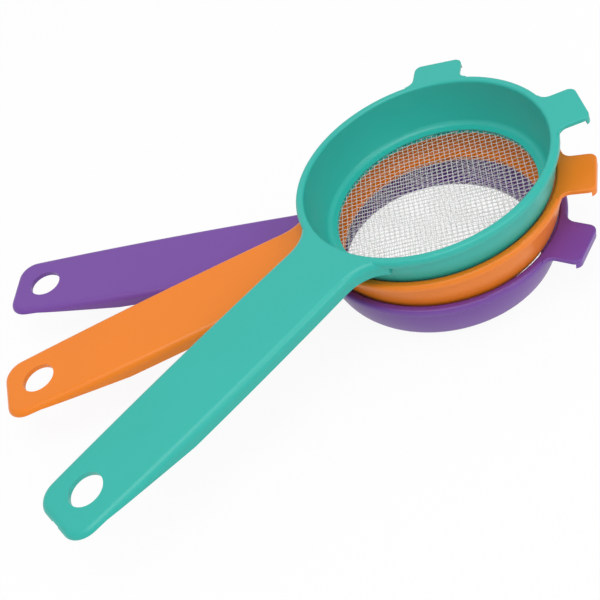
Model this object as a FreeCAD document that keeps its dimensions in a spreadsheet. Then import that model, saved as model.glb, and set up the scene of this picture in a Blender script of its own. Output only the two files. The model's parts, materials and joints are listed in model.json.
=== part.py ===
import FreeCAD, Part
import math
import os
import Sketcher

# A set of three alike sand sieves, nested in one another with their handles fanned.
# Each sieve is a one-piece moulded frame (rim, bowl wall, handle, two hook lugs)
# and a woven disc whose edge is moulded into the ring at the bottom of the bowl.
# Each sieve is drawn with its rim plane at z = 0, its bowl on the Z axis and its
# handle along +X, and is then laid in the nest by its placement.

Vector = FreeCAD.Vector
Rotation = FreeCAD.Rotation
Placement = FreeCAD.Placement

SIZES = {
    # Rim: the bead round the mouth of the bowl
    "rim_radius": 37.0,
    "rim_width": 2.6,
    "rim_height": 2.4,
    "rim_outer_round": 1.0,
    "rim_under_round": 0.5,
    "rim_inner_round": 0.8,
    # Bowl wall, a zone of a sphere, and the ring at its bottom
    "wall": 1.25,
    "root_share": 0.5,
    "base_depth": 16.2,
    "base_round": 4.4,
    "ring_flat": 0.53,
    "ring_height": 1.5,
    "floor_round": 2.2,
    # Woven disc, drawn as a net with wide gaps
    "net_bite": 1.8,
    "net_thickness": 0.5,
    "net_cover": 0.5,
    "net_pitch": 3.6,
    "net_web": 0.9,
    # Handle: a plate with a skirt round it, open below
    "handle_reach": 142.3,
    "handle_half_width": 12.8,
    "handle_widest_reach": 80.0,
    "handle_side_radius": 1500.0,
    "handle_depth": 4.5,
    "handle_plate": 1.5,
    "handle_skirt": 1.5,
    "handle_edge_round": 2.2,
    "handle_corner_radius": 6.5,
    "neck_flare_radius": 12.0,
    "neck_flare_bite": 0.1,
    "skirt_fade_length": 38.3,
    "tip_plate_length": 10.3,
    "hang_hole_inset": 11.4,
    "hang_hole_radius": 5.1,
    "gate_half_width": 1.7,
    "gate_depth": 0.35,
    # Lugs: two flat tongues opposite the handle, each with a lip turned down
    "lug_angle": 144.4,
    "lug_length": 8.5,
    "lug_half_width": 7.7,
    "lug_thickness": 1.2,
    "lug_corner_radius": 2.3,
    "lug_flare_radius": 3.0,
    "lug_edge_round": 0.4,
    "hook_depth": 2.8,
    "hook_thickness": 1.3,
    # How far each sieve's lugs are turned round the bowl from their place opposite the handle
    "purple_lug_turn": 6.4,
    "orange_lug_turn": 5.4,
    "teal_lug_turn": 0.0,
    # How the sieves lie in one another
    "seat_gap": 0.4,
    "purple_yaw": 161.25,
    "orange_yaw": 180.0,
    "orange_dip": 4.15,
    "orange_roll": 2.35,
    "teal_yaw": 204.95,
    "teal_dip": 4.6,
    "teal_roll": 5.45,
    # How far a cut runs past what it cuts
    "overrun": 2.0,
}

# Smallest difference that counts when an edge is picked by its place
SAME_PLACE = 1e-4


class Size:
    """A length with its number and the formula in the sheet's names that gives it."""

    def __init__(self, number, formula):
        self.number = number
        self.formula = formula

    def __add__(self, other):
        other = as_size(other)
        return Size(self.number + other.number, f"({self.formula} + {other.formula})")

    def __sub__(self, other):
        other = as_size(other)
        return Size(self.number - other.number, f"({self.formula} - {other.formula})")

    def __mul__(self, other):
        other = as_size(other)
        return Size(self.number * other.number, f"({self.formula} * {other.formula})")

    def __truediv__(self, other):
        other = as_size(other)
        return Size(self.number / other.number, f"({self.formula} / {other.formula})")

    def __neg__(self):
        return Size(-self.number, f"(0 - {self.formula})")


def as_size(value):
    return value if isinstance(value, Size) else Size(float(value), str(value))


def root(value):
    return Size(math.sqrt(value.number), f"sqrt({value.formula})")


def leg(long_side, short_side):
    """The other leg of a right triangle."""
    return root(long_side * long_side - short_side * short_side)


doc = FreeCAD.newDocument("sand_sieve")
sheet = doc.addObject("Spreadsheet::Sheet", "sizes")
for row, (name, number) in enumerate(SIZES.items(), start=1):
    sheet.set(f"A{row}", name)
    sheet.set(f"B{row}", str(number))
    sheet.setAlias(f"B{row}", name)
doc.recompute()


def cell(name):
    return Size(float(sheet.get(name)), f"sizes.{name}")


ZERO = as_size(0)
FULL_TURN = as_size(360)


def origin_plane(body, role):
    for item in body.Origin.OriginFeatures:
        if item.Role == role:
            return item
    raise ValueError(f"{body.Label} has no {role}")


def arc_through(start, end, radius, left):
    """Arc from start to end, whose centre lies left or right of the way there."""
    chord = end - start
    middle = (start + end) * 0.5
    across = Vector(-chord.y, chord.x, 0).normalize()
    height = math.sqrt(max(radius ** 2 - (chord.Length / 2) ** 2, 0.0))
    centre = middle + across * (height if left else -height)
    outward = middle - centre
    if outward.Length < SAME_PLACE:
        outward = across * (-1 if left else 1)
    crown = centre + outward.normalize() * radius
    return Part.Arc(start, crown, end)


def new_sketch(body, label, role, lift=ZERO, turn=None):
    """Empty sketch on an origin plane, lifted off it and turned in it."""
    sketch = body.newObject("Sketcher::SketchObject", label)
    sketch.AttachmentSupport = [(origin_plane(body, role), "")]
    sketch.MapMode = "FlatFace"
    angle = turn.number if turn else 0
    sketch.AttachmentOffset = Placement(Vector(0, 0, lift.number), Rotation(Vector(0, 0, 1), angle))
    if lift is not ZERO:
        sketch.setExpression("AttachmentOffset.Base.z", lift.formula)
    if turn:
        sketch.setExpression("AttachmentOffset.Rotation.Angle", turn.formula)
    return sketch


def draw(body, label, role, path, lift=ZERO, turn=None):
    """Closed sketch on an origin plane.

    Each step of the path is the corner that it starts from, as x and y, and for an
    arc the radius and whether its centre lies to the left of the way to the next.
    """
    sketch = new_sketch(body, label, role, lift, turn)
    corners = [Vector(step[0].number, step[1].number, 0) for step in path]
    starts, ends, round_edges = [], [], []
    for index, step in enumerate(path):
        start, end = corners[index], corners[(index + 1) % len(path)]
        if len(step) == 4:
            edge = sketch.addGeometry(arc_through(start, end, step[2].number, step[3]), False)
            forward = sketch.getPoint(edge, 1).isEqual(start, SAME_PLACE)
            starts.append((edge, 1 if forward else 2))
            ends.append((edge, 2 if forward else 1))
            round_edges.append((edge, step[2]))
        else:
            edge = sketch.addGeometry(Part.LineSegment(start, end), False)
            starts.append((edge, 1))
            ends.append((edge, 2))
    for index, step in enumerate(path):
        sketch.addConstraint(Sketcher.Constraint("Coincident", *ends[index - 1], *starts[index]))
        for kind, axis, place in (("DistanceX", -2, step[0]), ("DistanceY", -1, step[1])):
            if place is ZERO:
                sketch.addConstraint(Sketcher.Constraint("PointOnObject", *starts[index], axis))
                continue
            bound = sketch.addConstraint(
                Sketcher.Constraint(kind, -1, 1, *starts[index], place.number))
            sketch.setExpression(f"Constraints[{bound}]", place.formula)
    for edge, radius in round_edges:
        bound = sketch.addConstraint(Sketcher.Constraint("Radius", edge, radius.number))
        sketch.setExpression(f"Constraints[{bound}]", radius.formula)
    return sketch


def draw_circle(body, label, reach, radius):
    """Circle on the XY plane, with its middle on the X axis."""
    sketch = new_sketch(body, label, "XY_Plane")
    circle = Part.Circle(Vector(reach.number, 0, 0), Vector(0, 0, 1), radius.number)
    edge = sketch.addGeometry(circle, False)
    sketch.addConstraint(Sketcher.Constraint("PointOnObject", edge, 3, -1))
    for limit, size in (
            (Sketcher.Constraint("DistanceX", -1, 1, edge, 3, reach.number), reach),
            (Sketcher.Constraint("Radius", edge, radius.number), radius)):
        bound = sketch.addConstraint(limit)
        sketch.setExpression(f"Constraints[{bound}]", size.formula)
    return sketch


def volume_after(feature):
    doc.recompute()
    return feature.Shape.Volume


def pad_down(body, label, sketch, depth):
    pad = body.newObject("PartDesign::Pad", label)
    pad.Profile = sketch
    pad.Reversed = True
    pad.setExpression("Length", depth.formula)
    volume_after(pad)
    return pad


def pocket(body, label, sketch, depth, upward=False, both_ways=False):
    """Cut a sketch into the body, and make sure that it took something away."""
    before = body.Tip.Shape.Volume
    cut = body.newObject("PartDesign::Pocket", label)
    cut.Profile = sketch
    cut.Reversed = upward
    cut.SideType = "Symmetric" if both_ways else "One side"
    cut.setExpression("Length", depth.formula)
    if volume_after(cut) >= before:
        raise ValueError(f"{label} cuts nothing")
    return cut


def round_edges_of(body, label, radius, wanted):
    """Fillet the edges of the body's last feature for which wanted(edge) is true."""
    base = body.Tip
    names = [f"Edge{number}" for number, edge in enumerate(base.Shape.Edges, start=1) if wanted(edge)]
    if not names:
        raise ValueError(f"{label} found no edge")
    fillet = body.newObject("PartDesign::Fillet", label)
    fillet.Base = (base, names)
    fillet.setExpression("Radius", radius.formula)
    doc.recompute()
    return fillet


def middle_of(edge):
    return edge.valueAt((edge.FirstParameter + edge.LastParameter) / 2)


# Rim and bowl

RIM = cell("rim_radius")
RIM_OUTER = RIM + cell("rim_width")
BOWL_OUTER = RIM + cell("wall")
# The handle and the lugs are rooted part of the way into the bowl's wall
ROOT = RIM + cell("wall") * cell("root_share")
# The ring at the bottom of the bowl, from the round under it to the bore that the disc spans
BASE_CENTRE_DEPTH = cell("base_depth") - cell("base_round")
BASE_CENTRE = leg(BOWL_OUTER - cell("base_round"), BASE_CENTRE_DEPTH)
RING_BORE = BASE_CENTRE - cell("ring_flat")
FLOOR_DEPTH = cell("base_depth") - cell("ring_height")
NET_EDGE = RING_BORE + cell("net_bite")
NET_TOP = FLOOR_DEPTH + cell("net_cover")


def make_bowl(body):
    """Rim bead, bowl wall and bottom ring, turned in one piece round the Z axis."""
    rim_height = cell("rim_height")
    outer_round, under_round = cell("rim_outer_round"), cell("rim_under_round")
    base_depth, base_round = cell("base_depth"), cell("base_round")
    floor_round = cell("floor_round")
    net_bottom = NET_TOP + cell("net_thickness")
    base_reach = BOWL_OUTER / (BOWL_OUTER - base_round)
    floor_centre_depth = FLOOR_DEPTH - floor_round
    floor_centre = leg(RIM - floor_round, floor_centre_depth)
    floor_reach = RIM / (RIM - floor_round)
    profile = [
        (RIM, ZERO),
        (RIM_OUTER - outer_round, ZERO, outer_round, False),
        (RIM_OUTER, -outer_round),
        (RIM_OUTER, under_round - rim_height, under_round, False),
        (RIM_OUTER - under_round, -rim_height),
        (leg(BOWL_OUTER, rim_height), -rim_height, BOWL_OUTER, False),
        (BASE_CENTRE * base_reach, -(BASE_CENTRE_DEPTH * base_reach), base_round, False),
        (BASE_CENTRE, -base_depth),
        (RING_BORE, -base_depth),
        (RING_BORE, -net_bottom),
        (NET_EDGE, -net_bottom),
        (NET_EDGE, -NET_TOP),
        (RING_BORE, -NET_TOP),
        (RING_BORE, -FLOOR_DEPTH),
        (floor_centre, -FLOOR_DEPTH, floor_round, True),
        (floor_centre * floor_reach, -(floor_centre_depth * floor_reach), RIM, True),
    ]
    sketch = draw(body, "bowl_profile", "XZ_Plane", profile)
    bowl = body.newObject("PartDesign::Revolution", "bowl")
    bowl.Profile = sketch
    bowl.ReferenceAxis = (sketch, ["V_Axis"])
    bowl.Angle = 360
    doc.recompute()

    def mouth_edge(edge):
        box = edge.BoundBox
        flat = box.ZMax - box.ZMin < SAME_PLACE and abs(box.ZMax) < SAME_PLACE
        return flat and abs(box.YLength / 2 - RIM.number) < SAME_PLACE
    round_edges_of(body, "mouth_round", cell("rim_inner_round"), mouth_edge)


# Handle

# Each long side is drawn as this many arcs in a row, so that its rounding has even cross sections
SIDE_SPANS = 8


def circles_meet(centre_x, centre_y, first_radius, second_radius):
    """Where a circle round the Z axis meets a second circle, on the +Y side."""
    apart = root(centre_x * centre_x + centre_y * centre_y)
    along = (first_radius * first_radius - second_radius * second_radius + apart * apart) / (apart * 2)
    aside = leg(first_radius, along)
    x = (along * centre_x - aside * centre_y) / apart
    y = (along * centre_y + aside * centre_x) / apart
    return x, y


def make_handle(body):
    """Plate with a rounded edge and a skirt, hollow below, flared into the rim."""
    widest, side_radius = cell("handle_widest_reach"), cell("handle_side_radius")
    side_centre_y = cell("handle_half_width") - side_radius
    flare, corner = cell("neck_flare_radius"), cell("handle_corner_radius")
    reach, depth, skirt = cell("handle_reach"), cell("handle_depth"), cell("handle_skirt")
    # The flare runs a little way into the rim, so that the two surfaces cross
    touch = RIM_OUTER - cell("neck_flare_bite")
    flare_x, flare_y = circles_meet(widest, side_centre_y, touch + flare, side_radius + flare)
    on_rim = touch / (touch + flare)
    on_root = ROOT / (touch + flare)
    on_flare = side_radius / (side_radius + flare)
    side_x = widest + (flare_x - widest) * on_flare
    side_y = side_centre_y + (flare_y - side_centre_y) * on_flare
    corner_x = reach - corner
    corner_y = side_centre_y + leg(side_radius - corner, corner_x - widest)
    on_corner = side_radius / (side_radius - corner)
    tip_x = widest + (corner_x - widest) * on_corner
    tip_y = side_centre_y + (corner_y - side_centre_y) * on_corner
    side = []
    for span in range(1, SIDE_SPANS):
        x = side_x + (tip_x - side_x) * (span / SIDE_SPANS)
        side.append((x, side_centre_y + leg(side_radius, x - widest)))
    outline = [
        (flare_x * on_root, -(flare_y * on_root)),
        (flare_x * on_rim, -(flare_y * on_rim), flare, False),
        (side_x, -side_y, side_radius, True),
        *((x, -y, side_radius, True) for x, y in side),
        (tip_x, -tip_y, corner, True),
        (reach, -corner_y),
        (reach, corner_y, corner, True),
        (tip_x, tip_y, side_radius, True),
        *((x, y, side_radius, True) for x, y in reversed(side)),
        (side_x, side_y, flare, False),
        (flare_x * on_rim, flare_y * on_rim),
        (flare_x * on_root, flare_y * on_root, ROOT, False),
    ]
    sketch = draw(body, "handle_outline", "XY_Plane", outline)
    pad_down(body, "handle_block", sketch, depth)

    def top_edge(edge):
        box, middle = edge.BoundBox, middle_of(edge)
        outside = math.hypot(middle.x, middle.y) > RIM_OUTER.number - SAME_PLACE
        return abs(box.ZMin) < SAME_PLACE and outside
    round_edges_of(body, "handle_edge_round", cell("handle_edge_round"), top_edge)

    # The hollow keeps the skirt's thickness from every side and from the rim
    hollow_start = RIM_OUTER + skirt
    inner_side = side_radius - skirt
    start_x, start_y = circles_meet(widest, side_centre_y, hollow_start, inner_side)
    inner_corner = corner - skirt
    on_inner_corner = inner_side / (side_radius - corner)
    end_x = widest + (corner_x - widest) * on_inner_corner
    end_y = side_centre_y + (corner_y - side_centre_y) * on_inner_corner
    hollow = [
        (start_x, -start_y, inner_side, True),
        (end_x, -end_y, inner_corner, True),
        (reach - skirt, -corner_y),
        (reach - skirt, corner_y, inner_corner, True),
        (end_x, end_y, inner_side, True),
        (start_x, start_y, hollow_start, False),
    ]
    sketch = draw(body, "hollow_outline", "XY_Plane", hollow, lift=-depth)
    pocket(body, "handle_hollow", sketch, depth - cell("handle_plate"), upward=True)

    # The skirt grows shallower towards the tip, which is the bare plate
    plate, overrun = cell("handle_plate"), cell("overrun")
    wedge = [
        (reach - cell("skirt_fade_length"), -depth),
        (reach + overrun, -depth),
        (reach + overrun, -plate),
        (reach - cell("tip_plate_length"), -plate),
    ]
    sketch = draw(body, "fade_outline", "XZ_Plane", wedge)
    pocket(body, "skirt_fade", sketch, cell("handle_half_width") * 2 + overrun, both_ways=True)

    hole = reach - cell("hang_hole_inset")
    sketch = draw_circle(body, "hang_hole_outline", hole, cell("hang_hole_radius"))
    pocket(body, "hang_hole", sketch, depth + overrun)

    # The flat left by the mould's gate, in the middle of the tip
    gate = cell("gate_half_width")
    flat = [(-gate, -depth), (gate, -depth), (gate, ZERO), (-gate, ZERO)]
    sketch = draw(body, "gate_outline", "YZ_Plane", flat, lift=reach)
    pocket(body, "gate_flat", sketch, cell("gate_depth"))


# Lugs

def make_lugs(body, lug_turn):
    """Two tongues opposite the handle, level with the rim, with a lip at the end."""
    half, corner, flare = cell("lug_half_width"), cell("lug_corner_radius"), cell("lug_flare_radius")
    reach, lip = RIM_OUTER + cell("lug_length"), cell("hook_thickness")
    flare_y = half + flare
    flare_x = leg(RIM_OUTER + flare, flare_y)
    on_rim = RIM_OUTER / (RIM_OUTER + flare)
    on_root = ROOT / (RIM_OUTER + flare)
    outline = [
        (flare_x * on_root, -(flare_y * on_root)),
        (flare_x * on_rim, -(flare_y * on_rim), flare, False),
        (flare_x, -half),
        (reach - corner, -half, corner, True),
        (reach, corner - half),
        (reach, half - corner, corner, True),
        (reach - corner, half),
        (flare_x, half, flare, False),
        (flare_x * on_rim, flare_y * on_rim),
        (flare_x * on_root, flare_y * on_root, ROOT, False),
    ]
    # The lip is a bar under the tongue's end, between its rounded corners
    lip_half = half - corner + leg(corner, corner - lip)
    lip_outline = [
        (reach - lip, -lip_half, corner, True),
        (reach, corner - half),
        (reach, half - corner, corner, True),
        (reach - lip, lip_half),
    ]
    # The second lug lies as far from the handle as the first, on the other side
    first = cell("lug_angle") + lug_turn
    second = FULL_TURN - cell("lug_angle") + lug_turn
    for side, turn in (("first", first), ("second", second)):
        sketch = draw(body, f"{side}_lug_outline", "XY_Plane", outline, turn=turn)
        pad_down(body, f"{side}_lug_tongue", sketch, cell("lug_thickness"))
        sketch = draw(body, f"{side}_hook_outline", "XY_Plane", lip_outline, turn=turn)
        pad_down(body, f"{side}_lug_hook", sketch, cell("hook_depth"))

    def tongue_edge(edge):
        box, middle = edge.BoundBox, middle_of(edge)
        outside = math.hypot(middle.x, middle.y) > RIM_OUTER.number - SAME_PLACE
        return abs(box.ZMin) < SAME_PLACE and outside and middle.x < 0
    round_edges_of(body, "lug_edge_round", cell("lug_edge_round"), tongue_edge)


# Woven disc

def make_net(label):
    """Round net with square gaps, as one holed face given its thickness."""
    edge, bore = NET_EDGE.number, RING_BORE.number
    pitch, web = cell("net_pitch").number, cell("net_web").number
    thickness = cell("net_thickness").number
    bottom = -(NET_TOP + cell("net_thickness")).number
    half_gap = (pitch - web) / 2
    wires = [Part.Wire(Part.makeCircle(edge, Vector(0, 0, bottom)))]
    rows = int(bore / pitch)
    for column in range(-rows, rows + 1):
        for line in range(-rows, rows + 1):
            x, y = column * pitch, line * pitch
            if math.hypot(abs(x) + half_gap, abs(y) + half_gap) > bore - web:
                continue
            corners = [Vector(x + sx * half_gap, y + sy * half_gap, bottom)
                       for sx, sy in ((-1, -1), (1, -1), (1, 1), (-1, 1), (-1, -1))]
            wires.append(Part.makePolygon(corners))
    face = Part.makeFace(wires, "Part::FaceMakerBullseye")
    net = doc.addObject("Part::Feature", label)
    net.Label = label
    net.Shape = face.extrude(Vector(0, 0, thickness))
    print(label, "gaps", len(wires) - 1)
    return net


# Nest

def turned(yaw, dip=0.0, roll=0.0):
    """Handle turned by yaw, its tip lowered by dip, its +Y side raised by roll."""
    return (Rotation(Vector(0, 0, 1), yaw)
            * Rotation(Vector(0, 1, 0), dip)
            * Rotation(Vector(1, 0, 0), roll))


def nest_pitch():
    """How far a bowl's rim centre stands above the next one's.

    The ball of the upper bowl rests in the rounded mouth of the lower one. Both are
    centred on their own rim planes, so the gap stays the same however it is turned.
    """
    mouth_round = cell("rim_inner_round")
    return (leg(BOWL_OUTER + cell("seat_gap") + mouth_round, RIM + mouth_round) - mouth_round).number


def make_sieve(colour, placement):
    frame = doc.addObject("PartDesign::Body", f"{colour}_frame")
    frame.Label = f"{colour}_frame"
    make_handle(frame)
    make_lugs(frame, cell(f"{colour}_lug_turn"))
    make_bowl(frame)
    # The moulding is one solid that reaches from the lugs to the handle's tip
    reach = frame.Shape.BoundBox.XMax
    if len(frame.Shape.Solids) != 1 or reach < cell("handle_widest_reach").number:
        raise ValueError(f"{frame.Label} isn't one whole moulding")
    net = make_net(f"{colour}_mesh")
    frame.Placement = placement
    net.Placement = placement
    return [frame, net]


turns = {
    "purple": turned(cell("purple_yaw").number),
    "orange": turned(*(cell(f"orange_{word}").number for word in ("yaw", "dip", "roll"))),
    "teal": turned(*(cell(f"teal_{word}").number for word in ("yaw", "dip", "roll"))),
}
pieces = []
centre = Vector(0, 0, cell("base_depth").number)
for colour, turn in turns.items():
    pieces += make_sieve(colour, Placement(centre, turn))
    centre = centre + turn.multVec(Vector(0, 0, nest_pitch()))
doc.recompute()

# The origin is the middle of the foot of the whole set's box
whole = FreeCAD.BoundBox()
for piece in pieces:
    whole.add(piece.Shape.BoundBox)
to_origin = Vector(-whole.Center.x, -whole.Center.y, -whole.ZMin)
for piece in pieces:
    piece.Placement = Placement(to_origin, Rotation()).multiply(piece.Placement)
doc.recompute()

for item in doc.Objects:
    faults = [word for word in item.State if word in ("Invalid", "Error")]
    if faults:
        raise ValueError(f"{item.Label} failed: {faults}")
for piece in pieces:
    if piece.Shape.isNull() or not piece.Shape.isValid():
        raise ValueError(f"{piece.Label} has no valid shape")

os.makedirs("parts", exist_ok=True)
for piece in pieces:
    piece.Shape.exportStep(f"parts/{piece.Label}.step")
    box = piece.Shape.BoundBox
    print(piece.Label, "solids", len(piece.Shape.Solids), "volume", round(piece.Shape.Volume, 1),
          "box", [round(v, 2) for v in (box.XMin, box.YMin, box.ZMin, box.XMax, box.YMax, box.ZMax)])
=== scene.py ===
import json
import math

import bmesh
import bpy
from mathutils import Matrix, Quaternion, Vector


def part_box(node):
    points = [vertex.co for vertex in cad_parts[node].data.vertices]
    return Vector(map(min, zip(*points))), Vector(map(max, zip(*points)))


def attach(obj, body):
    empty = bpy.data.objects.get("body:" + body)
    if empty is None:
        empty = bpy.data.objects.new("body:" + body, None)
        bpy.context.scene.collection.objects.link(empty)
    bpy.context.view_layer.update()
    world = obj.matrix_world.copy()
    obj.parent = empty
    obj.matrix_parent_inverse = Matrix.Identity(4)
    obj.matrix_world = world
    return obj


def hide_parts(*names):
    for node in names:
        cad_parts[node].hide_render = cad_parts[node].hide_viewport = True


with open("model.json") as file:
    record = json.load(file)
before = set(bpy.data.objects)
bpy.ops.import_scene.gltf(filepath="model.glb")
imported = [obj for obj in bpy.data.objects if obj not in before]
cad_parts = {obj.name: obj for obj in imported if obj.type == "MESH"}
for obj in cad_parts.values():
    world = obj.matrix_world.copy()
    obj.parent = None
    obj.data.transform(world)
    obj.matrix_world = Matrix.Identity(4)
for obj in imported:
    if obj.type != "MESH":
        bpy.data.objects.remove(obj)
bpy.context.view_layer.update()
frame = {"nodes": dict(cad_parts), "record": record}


# Floor: the seamless white paper of a product table, on which the lowest sieve lies. It looks white to
# the camera, in gloss and through clear things, and still takes a share of the soft shadow.
def linear(hex_colour):
    """A colour as it is seen on a screen, turned to the linear values that the shaders take."""
    steps = [int(hex_colour[i:i + 2], 16) / 255 for i in (0, 2, 4)]
    return tuple(c / 12.92 if c <= 0.04045 else ((c + 0.055) / 1.055) ** 2.4 for c in steps) + (1.0,)


def add_node(tree, kind, inputs=(), **settings):
    """Adds one node: inputs gives values or other nodes' outputs by socket name or number."""
    node = tree.nodes.new("ShaderNode" + kind)
    for name, value in settings.items():
        setattr(node, name, value)
    for socket, value in dict(inputs).items():
        if isinstance(value, bpy.types.NodeSocket):
            tree.links.new(value, node.inputs[socket])
        else:
            node.inputs[socket].default_value = value
    return node


floor_half_width = 3.0
floor_below_foot = 0.0002
paper_colour = "F2F2F2"
white_share = 0.93
white_strength = 1.0

sheet = bmesh.new()
bmesh.ops.create_grid(sheet, x_segments=1, y_segments=1, size=floor_half_width,
                      matrix=Matrix.Translation((0, 0, -floor_below_foot)))
floor_mesh = bpy.data.meshes.new("floor")
sheet.to_mesh(floor_mesh)
sheet.free()
floor = bpy.data.objects.new("floor", floor_mesh)
bpy.context.scene.collection.objects.link(floor)

# White paper: matt, and nine tenths bright. Most of what is seen of it is plain white, the rest is lit.
white_paper = bpy.data.materials.new("white paper")
white_paper.use_nodes = True
tree = white_paper.node_tree
tree.nodes.clear()
ray = add_node(tree, "LightPath")
seen = add_node(tree, "Math", {0: ray.outputs["Is Camera Ray"], 1: ray.outputs["Is Glossy Ray"]},
                operation="MAXIMUM")
seen = add_node(tree, "Math", {0: seen.outputs[0], 1: ray.outputs["Is Transmission Ray"]},
                operation="MAXIMUM")
share = add_node(tree, "Math", {0: seen.outputs[0], 1: white_share}, operation="MULTIPLY")
paper = add_node(tree, "BsdfDiffuse", {"Color": linear(paper_colour)})
glow = add_node(tree, "Emission", {"Color": linear("FFFFFF"), "Strength": white_strength})
mixed = add_node(tree, "MixShader", {0: share.outputs[0], 1: paper.outputs[0], 2: glow.outputs[0]})
add_node(tree, "OutputMaterial", {"Surface": mixed.outputs[0]})
floor_mesh.materials.append(white_paper)


# Lamps: a white tent with a large soft box overhead, a faint one on the far side, whose sheen lies on the
# handles, and a small one in front on the right. A colour renders about as it is written at their level.
tent_strength = 0.62

world = bpy.data.worlds.new("studio")
bpy.context.scene.world = world
world.use_nodes = True
tree = world.node_tree
tree.nodes.clear()
ray = add_node(tree, "LightPath")
tent = add_node(tree, "Background", {"Color": linear("FFFFFF"), "Strength": tent_strength})
white = add_node(tree, "Background", {"Color": linear("FFFFFF"), "Strength": white_strength})
mixed = add_node(tree, "MixShader", {0: ray.outputs["Is Camera Ray"], 1: tent.outputs[0],
                                     2: white.outputs[0]})
add_node(tree, "OutputWorld", {"Surface": mixed.outputs[0]})


def soft_box(name, place, aim, width, height, watts):
    """One rectangular lamp at a place, turned towards the point that it is aimed at."""
    lamp = bpy.data.lights.new(name, "AREA")
    lamp.shape = "RECTANGLE"
    lamp.size = width
    lamp.size_y = height
    lamp.energy = watts
    stand = bpy.data.objects.new(name, lamp)
    stand.location = place
    stand.rotation_euler = (Vector(aim) - Vector(place)).to_track_quat("-Z", "Y").to_euler()
    bpy.context.scene.collection.objects.link(stand)


soft_box("upper soft box", place=(-0.05, -0.20, 0.93), aim=(-0.02, 0.0, 0.02),
         width=0.60, height=0.60, watts=3.2)
soft_box("far soft box", place=(-0.10, 0.70, 0.75), aim=(-0.02, 0.0, 0.02),
         width=1.00, height=0.60, watts=0.45)
soft_box("front soft box", place=(0.40, -0.45, 0.45), aim=(0.04, 0.0, 0.02),
         width=0.25, height=0.25, watts=0.8)


# Camera: close in front, 45 degrees above the floor, and rolled by 21 degrees as the photograph is.
# The place and the lens were found by fitting the rims, holes and lugs of the three like sieves.
camera_place = Vector((-0.01004, -0.20147, 0.21561))
camera_aim = Vector((-0.00168, -0.01485, 0.02590))
camera_roll = math.radians(-21.01)
lens_length = 56.49
sensor_width = 36.0
nearest_seen = 0.01

lens = bpy.data.cameras.new("camera")
lens.lens = lens_length
lens.sensor_width = sensor_width
lens.clip_start = nearest_seen
camera = bpy.data.objects.new("camera", lens)
turn = (camera_aim - camera_place).to_track_quat("-Z", "Y") @ Quaternion((0, 0, 1), camera_roll)
camera.matrix_world = Matrix.Translation(camera_place) @ turn.to_matrix().to_4x4()
bpy.context.scene.collection.objects.link(camera)
bpy.context.scene.camera = camera


# Frames: each sieve's rim, bowl wall, bottom ring, handle and hook lugs are one injection moulding.
# It is coloured polypropylene out of a polished steel mould, and nothing is fixed to it.
cloud_width = 0.022
cloud_tint = 0.035
satin_from, satin_to = 0.32, 0.40
grain_width = 0.0007
grain_height = 0.0001
grain_strength = 0.05
polypropylene_ior = 1.49
plastic_colours = {"purple": "7444A0", "orange": "F2820C", "teal": "2AB5A8"}


def moulded_polypropylene(name, hex_colour):
    """Satin polypropylene: faint clouds where the colour flowed, and the unevenness of a polished mould.

    The real unevenness is a few hundredths of a millimetre wide, and is drawn coarser so that it shows.
    """
    plastic = bpy.data.materials.new(name)
    plastic.use_nodes = True
    tree = plastic.node_tree
    tree.nodes.clear()
    place = add_node(tree, "TexCoord")
    clouds = add_node(tree, "TexNoise", {"Vector": place.outputs["Object"], "Scale": 1 / cloud_width})
    colour = linear(hex_colour)[:3]
    low = tuple((1 - cloud_tint) * c for c in colour) + (1.0,)
    high = tuple(min(1.0, (1 + cloud_tint) * c) for c in colour) + (1.0,)
    # Sockets 6 and 7 of a Mix node are its two colours, and its output 2 is the mixed colour.
    tint = add_node(tree, "Mix", {"Factor": clouds.outputs["Fac"], 6: low, 7: high}, data_type="RGBA")
    satin = add_node(tree, "MapRange", {
        "Value": clouds.outputs["Fac"], "To Min": satin_from, "To Max": satin_to})
    grain = add_node(tree, "TexNoise", {"Vector": place.outputs["Object"], "Scale": 1 / grain_width})
    bump = add_node(tree, "Bump", {
        "Height": grain.outputs["Fac"], "Strength": grain_strength, "Distance": grain_height})
    shader = add_node(tree, "BsdfPrincipled", {
        "Base Color": tint.outputs[2], "Roughness": satin.outputs[0], "IOR": polypropylene_ior,
        "Normal": bump.outputs[0]})
    add_node(tree, "OutputMaterial", {"Surface": shader.outputs[0]})
    return plastic


for colour, hex_colour in plastic_colours.items():
    plastic = moulded_polypropylene(f"moulded polypropylene {colour}", hex_colour)
    for space in frame["nodes"][f"{colour}_frame"].material_slots:
        space.material = plastic


# Mesh discs: plain woven cloth of white nylon thread, cut round, its edge held in the frame's bottom ring.
# The frame is moulded over that edge, so the cloth is stretched flat like the skin of a drum.
thread_pitch = 0.00165
thread_radius = 0.00012
edge_clearance = 0.0004
weave_angles = {"purple": -12, "orange": -21, "teal": -18}
nylon_colour = "FCFCFA"
nylon_roughness = 0.35
nylon_ior = 1.53
nylon_opacity = 0.35

# A nylon monofilament is smooth and milky clear. The thread is too thin to show how it bends the light, so
# each side of it is drawn as partly see-through, and the cloth takes on some of what lies behind it.
nylon_thread = bpy.data.materials.new("milky nylon thread")
nylon_thread.use_nodes = True
tree = nylon_thread.node_tree
tree.nodes.clear()
shader = add_node(tree, "BsdfPrincipled", {
    "Base Color": linear(nylon_colour), "Roughness": nylon_roughness, "IOR": nylon_ior,
    "Alpha": nylon_opacity})
add_node(tree, "OutputMaterial", {"Surface": shader.outputs[0]})


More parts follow.
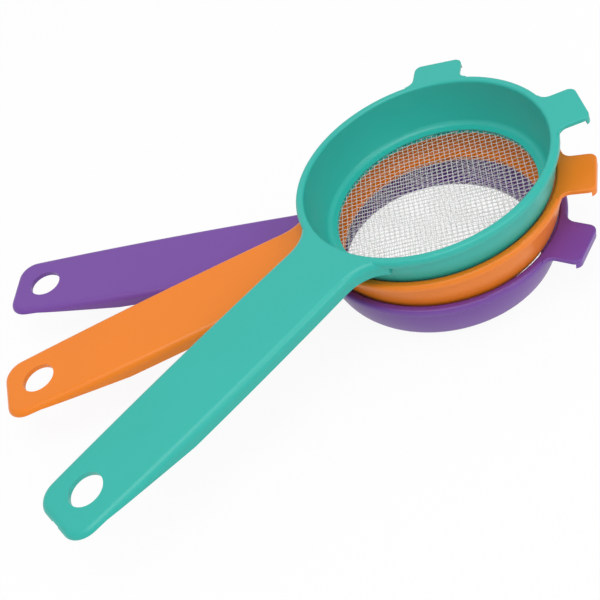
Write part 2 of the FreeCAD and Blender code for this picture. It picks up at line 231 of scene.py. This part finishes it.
def woven_disc(name, radius, place):
    """Each thread is one curve that goes over and under the threads that it crosses."""
    threads = bpy.data.curves.new(name, "CURVE")
    threads.dimensions = "3D"
    threads.bevel_depth = thread_radius
    # The threads are thin and many, so each is drawn with few sides and few steps.
    threads.bevel_resolution = 1
    threads.resolution_u = 4
    # A curve of order 3 swings half as far as its points, so two radii there lay thread on thread.
    over = 2 * thread_radius
    count = int(radius / thread_pitch)
    for family in (0, 1):
        for row in range(-count, count + 1):
            offset = row * thread_pitch
            reach = math.sqrt(radius ** 2 - offset ** 2)
            steps = int(reach / thread_pitch)
            crossings = range(-steps, steps + 1)
            along = [-reach] + [k * thread_pitch for k in crossings] + [reach]
            lift = [0.0] + [over if (k + row + family) % 2 else -over for k in crossings] + [0.0]
            line = threads.splines.new("NURBS")
            line.points.add(len(along) - 1)
            for point, x, z in zip(line.points, along, lift):
                point.co = (x, offset, z, 1.0) if family == 0 else (offset, x, z, 1.0)
            line.order_u = 3
            line.use_endpoint_u = True
    loom = bpy.data.objects.new(name, threads)
    mesh = bpy.data.meshes.new_from_object(loom)
    bpy.data.objects.remove(loom)
    mesh.transform(place)
    mesh.shade_smooth()
    disc = bpy.data.objects.new(name, mesh)
    bpy.context.scene.collection.objects.link(disc)
    return disc


# Each disc lies where the frame holds it, square to its sieve's axis, which the hanging hole shares. The
# purple sieve lies level, so the box of its CAD disc gives the size of all three.
axes = {mount["name"]: Vector(mount["axis"]) for mount in frame["record"]["mounts"]}
level_low, level_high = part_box("purple_mesh")
disc_radius = (level_high[0] - level_low[0]) / 2 - edge_clearance
for colour, weave_angle in weave_angles.items():
    low, high = (Vector(corner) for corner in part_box(f"{colour}_mesh"))
    tilt = Vector((0, 0, 1)).rotation_difference(axes[f"{colour}_hang_hole"]).to_matrix().to_4x4()
    weave_turn = Matrix.Rotation(math.radians(weave_angle), 4, "Z")
    place = Matrix.Translation((low + high) / 2) @ tilt @ weave_turn
    cloth = woven_disc(f"{colour}_woven_disc", disc_radius, place)
    cloth.data.materials.append(nylon_thread)
    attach(cloth, f"{colour}_sieve")
    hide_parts(f"{colour}_mesh")


bpy.context.scene.view_settings.view_transform = "Standard"
